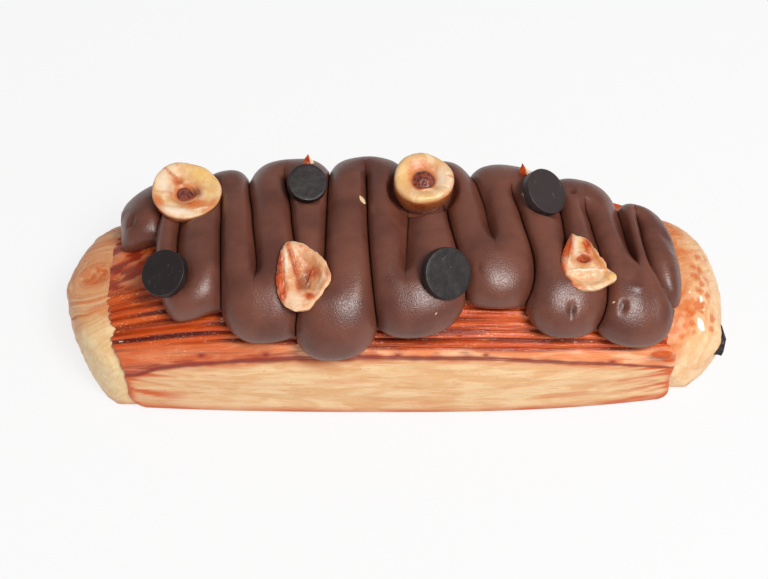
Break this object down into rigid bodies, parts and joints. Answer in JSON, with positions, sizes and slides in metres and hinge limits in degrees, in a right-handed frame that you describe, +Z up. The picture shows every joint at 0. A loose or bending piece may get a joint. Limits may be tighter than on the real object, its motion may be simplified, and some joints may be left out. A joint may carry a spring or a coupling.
{
  "type": "chocolate log danish",
  "caption": "Rolled puff pastry log with a ridged glazed wrap, chocolate ganache piped over it in a zigzag, hazelnut pieces and dark chocolate discs.",
  "frame": {"origin": "centre of the base, where the flat foot of the pastry stands", "axes": "+X along the log towards the end where the chocolate baton shows, -Y towards the side with the seam in full view, +Z up"},
  "size_m": [0.1482, 0.0546, 0.0454],
  "materials": {
    "crust": "satin",
    "ganache": "satin",
    "dark_chocolate": "satin",
    "hazelnut": "satin"
  },
  "bodies": {
    "root": {"pastry": "crust", "ganache": "ganache", "chocolate_baton": "dark_chocolate", "chocolate_disc_1": "dark_chocolate", "chocolate_disc_2": "dark_chocolate", "chocolate_disc_3": "dark_chocolate", "chocolate_disc_4": "dark_chocolate", "hazelnut_half_left": "hazelnut", "hazelnut_half_mid": "hazelnut", "hazelnut_wedge_left": "hazelnut", "hazelnut_wedge_right": "hazelnut", "hazelnut_chip_left": "hazelnut", "hazelnut_chip_mid": "hazelnut"}
  },
  "joints": []
}
